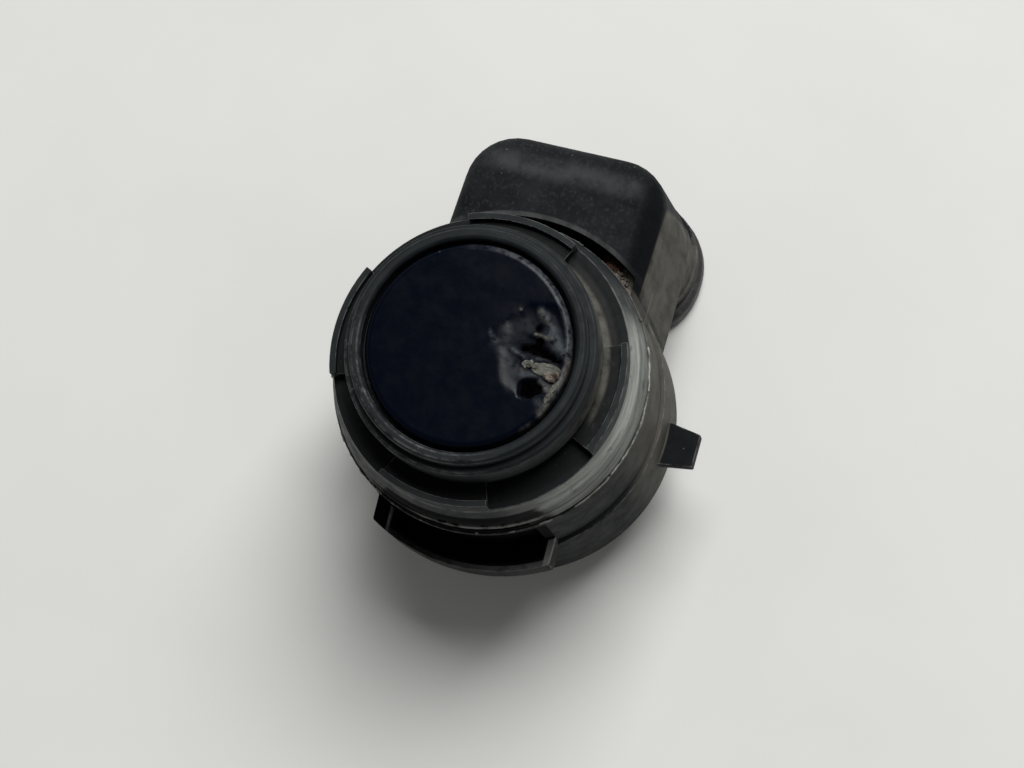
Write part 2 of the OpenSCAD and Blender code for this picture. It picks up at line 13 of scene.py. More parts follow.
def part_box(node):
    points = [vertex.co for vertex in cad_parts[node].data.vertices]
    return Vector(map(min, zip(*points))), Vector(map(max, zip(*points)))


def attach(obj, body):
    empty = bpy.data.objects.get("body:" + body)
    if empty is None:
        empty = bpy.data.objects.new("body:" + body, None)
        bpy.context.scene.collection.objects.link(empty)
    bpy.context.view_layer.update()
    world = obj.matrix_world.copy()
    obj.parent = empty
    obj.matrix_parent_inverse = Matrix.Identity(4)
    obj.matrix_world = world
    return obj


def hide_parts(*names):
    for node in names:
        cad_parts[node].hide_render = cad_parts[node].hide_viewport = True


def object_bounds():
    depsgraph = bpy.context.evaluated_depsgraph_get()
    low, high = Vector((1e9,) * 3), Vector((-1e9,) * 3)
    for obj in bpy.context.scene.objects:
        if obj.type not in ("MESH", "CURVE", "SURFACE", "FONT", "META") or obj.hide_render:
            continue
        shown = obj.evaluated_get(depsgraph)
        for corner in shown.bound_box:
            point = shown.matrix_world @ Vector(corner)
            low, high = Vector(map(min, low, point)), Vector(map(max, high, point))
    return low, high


bl_info = {
    "name": "Parking Sensor",
    "version": (1, 0, 0),
    "blender": (4, 5, 0),
    "location": "View3D > Sidebar > Sensor",
    "description": "Builds the visible pieces of a worn parking sensor round its solids",
    "category": "Add Mesh",
}

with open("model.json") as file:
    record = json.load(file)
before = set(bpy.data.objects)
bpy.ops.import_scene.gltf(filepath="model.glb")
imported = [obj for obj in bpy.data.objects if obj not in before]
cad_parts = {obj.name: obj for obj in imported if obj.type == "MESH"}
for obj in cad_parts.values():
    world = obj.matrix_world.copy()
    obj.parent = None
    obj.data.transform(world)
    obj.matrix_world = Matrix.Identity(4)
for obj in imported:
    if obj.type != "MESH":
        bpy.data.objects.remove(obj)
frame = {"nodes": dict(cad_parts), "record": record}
CAD_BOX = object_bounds()
NODES = frame["nodes"]

MM = 0.001
WELD = 2e-6  # vertices closer than this, in metres, are merged
FLAT = 0.4  # faces that turn by less than this, in degrees, are joined
SPECK_CORE = 0.7  # share of a speck's radius inside which it is full


def size(name, mm, description):
    """A length that a user may change, given in millimetres."""
    return FloatProperty(name=name, description=description, default=mm * MM, min=0.0, precision=5,
                         unit="LENGTH")


def amount(name, value, description, low=0.0, **limits):
    """A number that a user may change."""
    return FloatProperty(name=name, description=description, default=value, min=low, **limits)


def colour(name, rgb, description):
    """A colour that a user may change, as linear red, green and blue."""
    return FloatVectorProperty(name=name, description=description, default=rgb, size=3, min=0.0,
                               max=1.0, subtype="COLOR")


class SensorSizes(bpy.types.PropertyGroup):
    """Sizes of the visible pieces."""

    membrane_r: size("Membrane radius", 7.75, "Radius of the membrane's face")
    membrane_edge: size("Membrane edge", 0.45, "Rounding of the membrane's front edge")
    membrane_wall: size("Membrane wall", 0.8, "Thickness of the membrane's face")
    cup_r: size("Cup inside", 6.65, "Inner radius of the cup behind the membrane")
    cup_flange: size("Cup flange", 1.0, "Thickness of the cup's anchoring flange")
    dent_depth: size("Dent depth", 0.42, "Depth of the dent in the membrane")
    ring_round: size("Soft ring rounding", 0.12, "Rounding of the soft ring's edges")
    front_round: size("Front ring rounding", 0.09, "Rounding of the front ring's edges")
    shell_round: size("Housing rounding", 0.12, "Rounding of the housing's edges")
    gap_round: size("Gap rounding", 0.3, "Rounding of the shroud's front edge at the gap")
    collar_corner: size("Collar corner", 5.5, "Outer corner radius of the collar")
    collar_band: size("Collar band", 1.9, "Width of the collar from its outside to its opening")
    collar_round: size("Collar rounding", 0.55, "Rounding of the collar's edges")
    burr_r: size("Burr", 0.075, "Radius of the burr along the seam")


class SensorColours(bpy.types.PropertyGroup):
    """Colours of the visible pieces."""

    paint: colour("Membrane paint", (0.0009, 0.0019, 0.0052), "Near-black blue paint")
    primer: colour("Bare membrane", (0.15, 0.147, 0.132), "Pale primer where the paint has gone")
    silicone: colour("Soft ring", (0.0062, 0.0084, 0.0098), "Dark grey silicone")
    ring: colour("Front ring", (0.012, 0.0145, 0.0155), "Dark grey plastic of the front ring")
    # The pale tone is laid on the cone's right side only, where it also paints the cone's highlight
    cone: colour("Worn cone", (0.36, 0.375, 0.35), "Pale worn plastic on the front ring's cone")
    housing: colour("Housing", (0.0040, 0.0049, 0.0060), "Charcoal plastic of the housing")
    collar: colour("Collar", (0.02, 0.0205, 0.021), "Black plastic of the collar")
    dust: colour("Dust", (0.135, 0.13, 0.11), "Dust on the plastic")
    wear: colour("Worn edge", (0.26, 0.265, 0.25), "Plastic that is worn pale along its edges")
    soil: colour("Soil", (0.075, 0.03, 0.018), "Dried soil in the gap")


class SensorStage(bpy.types.PropertyGroup):
    """Floor, light and camera."""

    floor: colour("Floor", (0.72, 0.72, 0.695), "Pale floor")
    floor_size: amount("Floor size", 3.0, "Side of the floor", 0.5, unit="LENGTH")
    key: amount("Key light", 7.2, "Power of the soft light from the connector's side", unit="POWER")
    sky: amount("Sky", 0.5, "Strength of the even light from all round")
    near_share: amount("Near share", 0.4, "Share of that light away from the connector", max=1.0)
    zenith: amount("Zenith", 0.06, "Strength of the light from straight above")
    lens: amount("Lens", 91.4, "Focal length of the camera in millimetres", 10.0)
    seed: IntProperty(name="Seed", description="Start of the random numbers for crumbs", default=7)


class Finish:
    """One procedural material on Object coordinates."""

    def __init__(self, name, **sockets):
        self.material = bpy.data.materials.new(name)
        self.material.use_nodes = True
        tree = self.material.node_tree
        self.nodes, self.links = tree.nodes, tree.links
        self.shader = self.nodes["Principled BSDF"]
        for socket, value in sockets.items():
            self.set(socket.replace("_", " "), value)
        self.place = self.add("ShaderNodeTexCoord").outputs["Object"]

    def plug(self, socket, value):
        """Links a socket to another one, or sets it to a plain value."""
        if isinstance(value, bpy.types.NodeSocket):
            self.links.new(value, socket)
        else:
            socket.default_value = value

    def set(self, socket, value):
        """Plugs a value into the shader."""
        self.plug(self.shader.inputs[socket], value)

    def add(self, kind, inputs=None, **settings):
        """A new node with its settings and inputs."""
        node = self.nodes.new(kind)
        for name, value in settings.items():
            setattr(node, name, value)
        for key, value in (inputs or {}).items():
            self.plug(node.inputs[key], value)
        return node

    def cloud(self, mm, detail=3.0, rough=0.55, shift=0.0, stretch=None):
        """Soft noise with features of about that many millimetres, from 0 to 1."""
        place = self.place
        if shift or stretch:
            inputs = {"Vector": place, "Location": (shift, shift, -shift),
                      "Scale": stretch or (1.0, 1.0, 1.0)}
            place = self.add("ShaderNodeMapping", inputs).outputs[0]
        inputs = {"Vector": place, "Scale": 1.0 / (mm * MM), "Detail": detail, "Roughness": rough}
        return self.add("ShaderNodeTexNoise", inputs).outputs[0]

    def specks(self, mm, share):
        """1 on dots about that many millimetres apart, with that share of it as their radius."""
        inputs = {"Vector": self.place, "Scale": 1.0 / (mm * MM)}
        distance = self.add("ShaderNodeTexVoronoi", inputs).outputs["Distance"]
        return self.band(distance, share, share * SPECK_CORE)

    def band(self, value, low, high, to_low=0.0, to_high=1.0):
        """to_low at low, to_high at high, smooth between, level outside. low may be above high."""
        inputs = {"Value": value, "From Min": low, "From Max": high, "To Min": to_low,
                  "To Max": to_high}
        node = self.add("ShaderNodeMapRange", inputs, interpolation_type="SMOOTHSTEP")
        return node.outputs[0]

    def span(self, value, low, high, to_low=0.0, to_high=1.0):
        """A band of a length, with low and high in millimetres."""
        return self.band(value, low * MM, high * MM, to_low, to_high)

    def between(self, value, rise, full, fall, end):
        """1 from full to fall, and 0 before rise and past end, in millimetres."""
        return self.all_of(self.span(value, rise, full), self.span(value, end, fall))

    def patches(self, mm, low, high, detail=5.0, **look):
        """Patches of noise: 0 where it is below low, 1 where it is above high."""
        return self.band(self.cloud(mm, detail, **look), low, high)

    def drift(self, mm, low, high):
        """A value that drifts softly from low to high."""
        return self.band(self.cloud(mm), 0.3, 0.7, low, high)

    def math(self, operation, a, b):
        """The result of one operation on two values."""
        return self.add("ShaderNodeMath", {0: a, 1: b}, operation=operation).outputs[0]

    def mix(self, share, a, b):
        """Colour a where share is 0, b where it is 1."""
        pad = [c if isinstance(c, bpy.types.NodeSocket) else (*c, 1.0) for c in (a, b)]
        inputs = {0: share, 6: pad[0], 7: pad[1]}
        return self.add("ShaderNodeMix", inputs, data_type="RGBA").outputs[2]

    def coat(self, base, tone, *masks, share=1.0):
        """The base with that share of another tone over it, where every mask is 1."""
        return self.mix(self.all_of(*masks, share), base, tone)

    def axes(self):
        """The three coordinates."""
        return self.add("ShaderNodeSeparateXYZ", {0: self.place}).outputs

    def radius(self):
        """Distance from the sensing axis."""
        inputs = {0: self.place, 1: (1.0, 1.0, 0.0)}
        flat = self.add("ShaderNodeVectorMath", inputs, operation="MULTIPLY").outputs[0]
        return self.add("ShaderNodeVectorMath", {0: flat}, operation="LENGTH").outputs["Value"]

    def side(self, direction, low, high, ragged=0.0):
        """1 on the side of the axis in that direction, in degrees, past that many millimetres."""
        x, y, _ = self.axes()
        across = self.math("ADD", self.math("MULTIPLY", x, cos(radians(direction))),
                           self.math("MULTIPLY", y, sin(radians(direction))))
        if ragged:
            stray = self.math("SUBTRACT", self.cloud(1.1, 5.0, 0.65, 0.03), 0.5)
            across = self.math("ADD", across, self.math("MULTIPLY", stray, ragged * MM))
        return self.span(across, low, high)

    def all_of(self, *masks):
        """1 only where every mask is 1."""
        whole = masks[0]
        for mask in masks[1:]:
            whole = self.math("MULTIPLY", whole, mask)
        return whole

    def any_of(self, *masks):
        """The strongest of some masks."""
        whole = masks[0]
        for mask in masks[1:]:
            whole = self.math("MAXIMUM", whole, mask)
        return whole

    def marked(self, name):
        """A value painted on the piece's vertices."""
        node = self.add("ShaderNodeAttribute", attribute_name=name, attribute_type="GEOMETRY")
        return node.outputs["Fac"]

    def bump(self, *grains):
        """Fine relief from pairs of a value and its height in millimetres."""
        normal = None
        for value, mm in grains:
            inputs = {"Height": value, "Strength": 1.0, "Distance": mm * MM}
            if normal:
                inputs["Normal"] = normal
            normal = self.add("ShaderNodeBump", inputs).outputs[0]
        self.set("Normal", normal)

    def done(self, base):
        """The material, with its colour set."""
        self.set("Base Color", base)
        return self.material


# In the finishes, patches and limits are in millimetres. The sensing axis is z, the connector lies
# towards +y, and r is the distance from the axis.


def membrane_finish(tint):
    """Near-black paint, scuffed grey with painted highlight in the dent and at its edge, pale
    primer in the chips, and black painted shade in the hole and crack.
    """
    f = Finish("membrane_paint", Specular_IOR_Level=0.09)
    haze, grain = f.patches(6.0, 0.3, 0.8, 3.0), f.patches(0.12, 0.52, 0.75, 3.0)
    base = f.coat(tint.paint, (0.0016, 0.003, 0.0066), haze, share=0.4)
    base = f.coat(base, (0.0035, 0.0055, 0.0095), grain, share=0.4)
    base = f.coat(base, (0.07, 0.07, 0.075), f.specks(2.6, 0.04), share=0.4)
    # Grey scuffs, laid where the dent's slopes and the membrane's edge catch the light: scuffed
    # paint and painted highlight
    scuff = f.all_of(f.marked("scuff"), f.patches(0.6, 0.32, 0.62, rough=0.65))
    base = f.coat(base, (0.066, 0.073, 0.08), scuff)
    stain = f.patches(0.7, 0.38, 0.62, 4.0, shift=0.02)
    chip = f.all_of(f.marked("bare"), f.patches(0.4, 0.28, 0.6, rough=0.7))
    base = f.coat(base, f.coat(tint.primer, (0.085, 0.075, 0.062), stain), chip)
    # Painted shade: the hole and the crack are painted near-black
    pit_shade, dent = f.marked("pit_shade"), f.marked("dent")
    base = f.coat(base, (0.0005, 0.0004, 0.0004), pit_shade)
    dull = f.band(dent, 0.0, 0.6, 0.17, 0.55)
    smears = f.band(f.cloud(1.2, 5.0, 0.6), 0.3, 0.75, 0.0, 0.08)
    f.set("Roughness", f.any_of(f.math("ADD", dull, smears), f.all_of(pit_shade, 0.95)))
    f.bump((f.cloud(0.25, 3.0), 0.003), (f.all_of(dent, f.cloud(0.5, 4.0, 0.6)), 0.05))
    return f.done(base)


def hole_shade_finish():
    """Painted shade: near-black for the depth of the torn hole and the crack."""
    f = Finish("torn_hole_shade", Roughness=1.0, Specular_IOR_Level=0.0)
    soot = f.patches(0.4, 0.4, 0.7, 4.0)
    return f.done(f.coat((0.0004, 0.0004, 0.0004), (0.0018, 0.0014, 0.0012), soot))


def flap_finish():
    """Torn paint that shows its pale underside, beige with brown or whitish."""
    f = Finish("torn_paint", Roughness=0.6, Specular_IOR_Level=0.2)
    brown = f.patches(0.6, 0.42, 0.6, 4.0, rough=0.6)
    black = f.patches(0.35, 0.56, 0.66, 3.0, shift=0.03)
    base = f.coat((0.15, 0.128, 0.106), (0.06, 0.04, 0.032), brown)
    base = f.coat(base, (0.02, 0.016, 0.014), black)
    white = f.coat((0.15, 0.153, 0.132), (0.06, 0.062, 0.052), f.patches(0.4, 0.35, 0.7, 4.0))
    f.bump((f.cloud(0.2, 4.0), 0.02))
    return f.done(f.coat(base, white, f.marked("white")))


def silicone_finish(tint):
    """Soft dark grey ring with pale scuffs and dust at its foot."""
    f = Finish("silicone", Specular_IOR_Level=0.15)
    base = f.coat(tint.silicone, (0.0115, 0.0145, 0.0165), f.patches(2.5, 0.35, 0.7, 4.0))
    scuffed = f.side(235.0, 2.0, 8.6)
    rub = f.all_of(f.marked("wear"), scuffed, f.patches(1.2, 0.4, 0.62, rough=0.7))
    base = f.coat(base, (0.11, 0.115, 0.11), rub, share=0.65)
    scuff = f.all_of(scuffed, f.patches(0.45, 0.58, 0.72, rough=0.7))
    base = f.coat(base, (0.14, 0.14, 0.135), scuff, share=0.55)
    foot = f.all_of(f.span(f.axes()[2], 2.6, 0.8), f.side(15.0, 5.5, 9.2))
    base = f.coat(base, tint.dust, foot, f.patches(1.1, 0.2, 0.72), share=0.75)
    base = f.coat(base, tint.dust, f.specks(0.9, 0.06), share=0.4)
    f.set("Roughness", f.drift(0.8, 0.45, 0.62))
    f.bump((f.cloud(0.12, 2.0), 0.006), (f.cloud(1.2, 4.0), 0.01))
    return f.done(base)


def ring_finish(tint):
    """Dark grey ring with floors, shelves and the band over the pocket painted black as shade, worn
    pale on the cone at its right, where the pale also paints its highlight, and along its lips.
    """
    f = Finish("ring_plastic", Specular_IOR_Level=0.1)
    z, r = f.axes()[2], f.radius()
    base = f.coat(tint.ring, (0.018, 0.0215, 0.0225), f.patches(2.0, 0.35, 0.7, 4.0))
    half_pale = tuple(0.5 * c for c in tint.cone)
    streaks = f.patches(0.5, 0.3, 0.7, 4.0, rough=0.6, stretch=(0.12, 0.12, 1.0))
    # Pale worn plastic on the cone, kept to its right side, where it also paints the cone's
    # highlight
    cone = f.all_of(f.span(z, -1.5, -1.9), f.side(-10.0, 4.5, 10.5), f.side(26.0, -1.6, 0.4, 3.0),
                    f.side(-62.0, -2.4, 0.5), f.span(z, -3.9, -3.2, 0.55, 1.0))
    base = f.coat(base, f.coat(tint.cone, half_pale, streaks), cone,
                  f.patches(1.3, 0.2, 0.4, rough=0.6))
    crest = f.all_of(f.between(z, -2.15, -1.95, -1.8, -1.55), f.patches(1.0, 0.3, 0.6, rough=0.6))
    base = f.coat(base, half_pale, crest, share=0.5)
    # Painted shade: the floors inside the lips are painted near-black
    shaded_floors = f.all_of(f.span(r, 10.87, 10.82), f.span(z, -0.2, -0.4))
    base = f.coat(base, (0.0025, 0.0028, 0.003), shaded_floors, share=0.85)
    # Painted shade: the low shelves between the raised sectors are painted dark
    shaded_shelf = f.all_of(f.between(r, 10.3, 10.55, 11.28, 11.34),
                     f.between(z, -1.75, -1.65, -1.3, -1.0))
    base = f.coat(base, (0.004, 0.0045, 0.005), shaded_shelf, share=0.8)
    # Painted shade: the band of the cone over the pocket is painted near-black
    shade_over_pocket = f.all_of(f.side(-84.0, 9.9, 10.4, 0.6), f.between(z, -5.62, -5.58, -3.1, -2.75))
    base = f.coat(base, (0.002, 0.0024, 0.003), shade_over_pocket, share=0.92)
    rib = f.all_of(f.between(z, -5.0, -4.9, -4.5, -4.4), f.side(-75.0, 10.2, 11.6))
    base = f.coat(base, tint.wear, rib, f.patches(1.4, 0.36, 0.56), share=0.6)
    low = f.all_of(shaded_floors, f.span(z, -1.0, -1.3), f.side(38.0, 8.6, 9.6), f.span(r, 10.7, 10.3))
    base = f.coat(base, (0.05, 0.051, 0.047), low, f.patches(1.6, 0.2, 0.75, 4.0), share=0.4)
    foot = f.all_of(shaded_floors, f.span(r, 10.1, 9.75), f.side(26.0, 6.6, 9.4, 2.0))
    base = f.coat(base, tint.dust, foot, f.patches(0.9, 0.1, 0.7, rough=0.65), share=0.8)
    grit = f.all_of(shaded_floors, f.side(-28.0, 6.0, 9.0), f.patches(0.6, 0.58, 0.68, rough=0.7))
    base = f.coat(base, (0.05, 0.042, 0.038), grit, share=0.45)
    rub = f.all_of(f.marked("wear"), f.patches(1.0, 0.34, 0.6, rough=0.65))
    base = f.coat(base, tint.wear, rub, share=0.6)
    base = f.coat(base, tint.dust, f.specks(0.9, 0.05), share=0.3)
    f.set("Roughness", f.any_of(f.drift(0.9, 0.42, 0.58), shade_over_pocket))
    f.bump((f.cloud(0.15, 2.0), 0.008))
    return f.done(base)


def housing_finish(tint):
    """Matte charcoal plastic with grain, dust and pale worn edges, a painted sheen on the shroud's
    far edge, painted highlight on the gap's lip, painted light on the near ledge, and painted shade
    at the bend and black in the pocket and gap.
    """
    f = Finish("housing_plastic", Specular_IOR_Level=0.09)
    x, y, z = f.axes()
    r = f.radius()
    grey = (0.03, 0.0315, 0.034)
    base = f.coat(tint.housing, (0.0078, 0.0088, 0.01), f.patches(5.0, 0.35, 0.7))
    base = f.coat(base, (0.02, 0.0215, 0.024), f.patches(3.2, 0.42, 0.7, rough=0.65), share=0.5)
    base = f.coat(base, grey, f.patches(0.3, 0.5, 0.72, 3.0), share=0.5)
    # Painted sheen: a pale band along the shroud's far rounded edge
    painted_sheen = f.all_of(f.between(y, 16.3, 17.5, 17.7, 19.0), f.span(z, -10.8, -9.3),
                     f.between(x, -7.4, -4.8, 6.2, 7.8), f.patches(1.6, 0.1, 0.7, rough=0.65))
    base = f.coat(base, (0.055, 0.058, 0.062), painted_sheen, share=0.75)
    # Painted highlight on the rounded lip of the shroud's front along the gap
    lip_highlight = f.all_of(f.between(r, 13.45, 13.5, 13.85, 14.0), f.span(z, -8.6, -8.4),
                   f.span(y, 7.5, 8.5), f.patches(1.5, 0.2, 0.6, 4.0))
    base = f.coat(base, (0.06, 0.062, 0.06), lip_highlight, share=0.8)
    # Painted light: the ledge on the near side is lightened against its shade
    painted_light_ledge = f.all_of(f.between(z, -13.2, -13.05, -12.9, -12.75), f.span(y, 4.0, 2.0))
    base = f.coat(base, grey, painted_light_ledge, share=0.3)
    # Painted shade at the bend beside the gap's end; the lugs are made darker too
    shaded_bend = f.all_of(f.span(x, 5.8, 8.2), f.span(z, -10.0, -8.8), f.span(y, 8.0, 10.0))
    lug = f.span(f.math("ABSOLUTE", x, 0.0), 12.75, 12.95)
    base = f.coat(base, (0.0032, 0.004, 0.0048), f.any_of(shaded_bend, lug), share=0.85)

    film = f.all_of(f.side(14.0, 9.4, 12.2), f.span(r, 12.95, 12.8))
    base = f.coat(base, tint.dust, film, f.patches(2.2, -0.15, 0.75, rough=0.65), share=0.62)
    flank = f.all_of(f.span(x, 8.98, 9.14), f.span(y, 7.4, 8.4), f.span(r, 12.8, 13.2))
    brushed = f.patches(1.2, 0.0, 0.8, rough=0.6, stretch=(1.0, 1.0, 0.3))
    base = f.coat(base, tint.dust, flank, brushed, share=0.72)
    rub = f.all_of(f.marked("wear"), f.patches(1.3, 0.42, 0.62, rough=0.65))
    base = f.coat(base, tint.wear, rub, f.span(y, -9.5, -10.5, 0.45, 0.35))

    worn = f.patches(0.9, 0.2, 0.6, rough=0.6)
    right_wall = f.all_of(f.span(x, 6.78, 6.84), f.span(y, -9.6, -10.0), f.span(z, -11.9, -11.7),
                          f.span(r, 12.45, 12.55), worn, 0.5)
    outer_edge = f.all_of(f.span(r, 13.82, 13.9), f.span(z, -11.95, -11.75),
                          f.span(y, -8.0, -10.0), f.span(x, -5.0, 3.0), worn, 0.18)
    base = f.coat(base, tint.wear, f.any_of(right_wall, outer_edge))
    base = f.coat(base, (0.2, 0.2, 0.19), f.specks(1.5, 0.05), share=0.4)
    left_edge = f.all_of(f.between(x, -6.12, -6.06, -5.84, -5.8), f.span(r, 12.5, 12.6),
                         f.span(y, -9.5, -10.0), f.span(z, -12.0, -11.8), worn)
    base = f.coat(base, tint.wear, left_edge, share=0.7)

    # Painted shade: the pocket, its root and corner, and the gap are painted near-black
    pocket_side = f.span(y, -8.0, -9.0)
    pocket = f.all_of(f.between(x, -5.84, -5.8, 6.8, 6.84), pocket_side, f.span(r, 13.9, 13.82),
                      f.between(z, -14.4, -14.3, -6.3, -6.1))
    root = f.all_of(f.between(x, -5.84, -5.8, 7.22, 7.3), pocket_side, f.span(r, 12.6, 12.5),
                    f.between(z, -12.1, -11.9, -6.3, -6.1))
    corner = f.all_of(f.span(x, -6.06, -6.12), f.span(y, -9.4, -9.8),
                      f.between(z, -12.1, -11.9, -11.1, -10.9))
    gap = f.all_of(f.between(x, -7.0, -6.8, 8.7, 8.9), f.span(y, 8.6, 9.2), f.span(r, 13.6, 13.5),
                   f.between(z, -13.0, -12.8, -8.6, -8.3))
    shaded_hollows = f.any_of(pocket, root, corner, gap)
    base = f.coat(base, (0.001, 0.001, 0.0011), shaded_hollows)
    silt = f.all_of(gap, f.span(x, 6.4, 8.0), f.span(z, -10.5, -9.5))
    base = f.coat(base, (0.08, 0.08, 0.075), silt, share=0.9)
    f.set("Roughness", f.any_of(f.drift(1.5, 0.58, 0.72), shaded_hollows, shaded_bend))
    f.bump((f.cloud(0.16, 2.0), 0.012), (f.cloud(1.5, 3.0), 0.01))
    return f.done(base)


def collar_finish(tint):
    """Black moulded plastic with a little dust."""
    f = Finish("collar_plastic", Specular_IOR_Level=0.25)
    base = f.coat(tint.collar, (0.034, 0.0345, 0.035), f.patches(2.0, 0.35, 0.7, 4.0))
    base = f.coat(base, tint.dust, f.patches(1.0, 0.5, 0.75), share=0.25)
    f.set("Roughness", f.drift(1.0, 0.4, 0.56))
    f.bump((f.cloud(0.14, 2.0), 0.008))
    return f.done(base)


def burr_finish():
    """Whitened plastic of the burr along the seam, grey towards the connector."""
    f = Finish("worn_burr", Roughness=0.6)
    base = f.coat((0.10, 0.105, 0.095), (0.30, 0.305, 0.28), f.patches(0.6, 0.35, 0.65))
    far = f.span(f.axes()[1], 5.0, 8.0)
    return f.done(f.coat(base, (0.03, 0.0315, 0.03), far, share=0.85))


def soil_finish(tint):
    """Dried soil and grit, in parts pale."""
    f = Finish("dried_soil", Roughness=0.85, Specular_IOR_Level=0.2)
    base = f.coat(tint.soil, (0.07, 0.045, 0.03), f.patches(0.7, 0.4, 0.7, 4.0))
    base = f.coat(base, (0.02, 0.013, 0.01), f.patches(0.35, 0.5, 0.64, 4.0, shift=0.05))
    pale = f.coat((0.24, 0.212, 0.17), (0.11, 0.098, 0.08), f.patches(0.5, 0.4, 0.65, 4.0))
    f.bump((f.cloud(0.12, 3.0), 0.03))
    return f.done(f.coat(base, pale, f.marked("pale")))


def plain_finish(name, light, dark, mm, roughness, metallic):
    """Two tones of one material in soft patches, for the pieces inside."""
    f = Finish(name, Roughness=roughness, Metallic=metallic)
    f.bump((f.cloud(mm * 0.3, 2.0), 0.004))
    return f.done(f.coat(light, dark, f.patches(mm, 0.35, 0.65, 4.0)))


def add_piece(name, bm, finish, stands_for=(), sharp=34.0):
    """Makes a piece of a bmesh in place, on the one body of the sensor."""
    for face in bm.faces:
        face.smooth = True
    for edge in bm.edges:
        edge.smooth = edge.calc_face_angle(0.0) <= radians(sharp)
    mesh = bpy.data.meshes.new(name)
    bm.to_mesh(mesh)
    bm.free()
    mesh.materials.append(finish)
    piece = bpy.data.objects.new(name, mesh)
    piece.modifiers.new("even_shading", "WEIGHTED_NORMAL").keep_sharp = True
    bpy.context.scene.collection.objects.link(piece)
    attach(piece, "root")
    if stands_for:
        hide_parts(*stands_for)
    return piece


def node_copy(node):
    """A merged copy of a CAD node's mesh, with its flat triangles joined into faces."""
    bm = bmesh.new()
    bm.from_mesh(NODES[node].data)
    bmesh.ops.remove_doubles(bm, verts=bm.verts, dist=WELD)
    bmesh.ops.dissolve_limit(bm, angle_limit=radians(FLAT), use_dissolve_boundaries=False,
                             verts=bm.verts, edges=bm.edges)
    return bm


def full_turn(bm, steps):
    """Spins an outline once round the sensing axis."""
    bmesh.ops.spin(bm, geom=bm.verts[:] + bm.edges[:], cent=(0, 0, 0), axis=(0, 0, 1),
                   dvec=(0, 0, 0), angle=2 * pi, steps=steps, use_merge=True)


def thicken(bm, faces, rise):
    """Gives a sheet of faces its thickness, up or down."""
    made = bmesh.ops.extrude_face_region(bm, geom=faces, use_keep_orig=True)["geom"]
    verts = [v for v in made if isinstance(v, bmesh.types.BMVert)]
    bmesh.ops.translate(bm, verts=verts, vec=(0, 0, rise))


def chains(edges):
    """Groups edges that share corners."""
    groups = {}
    for edge in edges:
        joined = [edge]
        for group in {groups[v] for v in edge.verts if v in groups}:
            joined += group
        group = tuple(joined)
        for e in group:
            for v in e.verts:
                groups[v] = group
    return list(dict.fromkeys(groups.values()))


def round_edges(bm, width, angle, segments=2, keep=None):
    """Rounds the outer edges that turn by more than an angle, and marks their middles as worn."""
    wear = bm.verts.layers.float.get("wear") or bm.verts.layers.float.new("wear")
    number = bm.edges.layers.int.get("chain") or bm.edges.layers.int.new("chain")
    for edge in bm.edges:
        edge[number] = 0
    bm.normal_update()
    sharp = [e for e in bm.edges
             if e.is_manifold and e.is_convex and e.calc_face_angle(0.0) > radians(angle)
             and (keep is None or keep((e.verts[0].co + e.verts[1].co) / 2 / MM))]
    groups = chains(sharp)
    for count, group in enumerate(groups, 1):
        for edge in group:
            edge[number] = count
    for count in range(1, len(groups) + 1):
        made = bmesh.ops.bevel(bm, geom=[e for e in bm.edges if e[number] == count], offset=width,
                               offset_type="OFFSET", affect="EDGES", segments=segments,
                               profile=0.5, material=-1, clamp_overlap=True)
        strips = set(made["faces"])
        for v in made["verts"]:
            v[wear] = float(all(f in strips for f in v.link_faces))


def fade(value):
    """Smooth step of a value from 0 to 1."""
    t = min(max(value, 0.0), 1.0)
    return t * t * (3.0 - 2.0 * t)


def near(x, y, a, b, reach):
    """1 on the line from a to b, falling to 0 at that distance from it, in millimetres."""
    dx, dy = b[0] - a[0], b[1] - a[1]
    t = ((x - a[0]) * dx + (y - a[1]) * dy) / (dx * dx + dy * dy + 1e-9)
    t = min(max(t, 0.0), 1.0)
    return fade(1.0 - hypot(x - a[0] - t * dx, y - a[1] - t * dy) / reach)


def strongest(x, y, marks):
    """The strongest of some marks at a place, each a line with its reach and share."""
    return max(near(x, y, a, b, reach) * share for a, b, reach, share in marks)


# The dent in the membrane, in millimetres from the sensing axis. Each mark is a line from one place
# to another and its reach. A ridge also has its height, and a scuff or bare spot its share.
DENT, DENT_REACH = (5.4, 0.9), (3.6, 3.65)
HOLE, HOLE_REACH = (5.4, -2.04), (0.84, 0.77)
CRACK = (
    ((4.1, 0.85), (5.0, 0.95), 0.4), ((5.15, 1.55), (5.2, 1.0), 0.55),
    ((4.8, 0.95), (5.7, 0.8), 0.62), ((5.7, 0.75), (6.4, 0.55), 0.4),
    ((6.29, 0.55), (7.4, 0.25), 0.26), ((4.77, 2.55), (4.8, 2.5), 0.34),
)
RIDGES = (
    ((4.5, 3.85), (5.1, 3.1), 0.65, 0.2), ((5.3, 3.05), (6.0, 2.75), 0.6, 0.18),
    ((5.9, 2.3), (7.1, 1.1), 0.8, 0.2), ((4.7, 2.0), (5.8, 1.85), 0.4, 0.16),
    ((3.15, 0.6), (4.3, 0.2), 0.4, 0.16), ((4.3, -0.5), (5.2, -0.1), 0.5, 0.12),
    ((5.4, 0.3), (6.2, 0.25), 0.3, 0.14), ((6.5, -1.3), (6.9, -2.6), 0.5, 0.1),
)
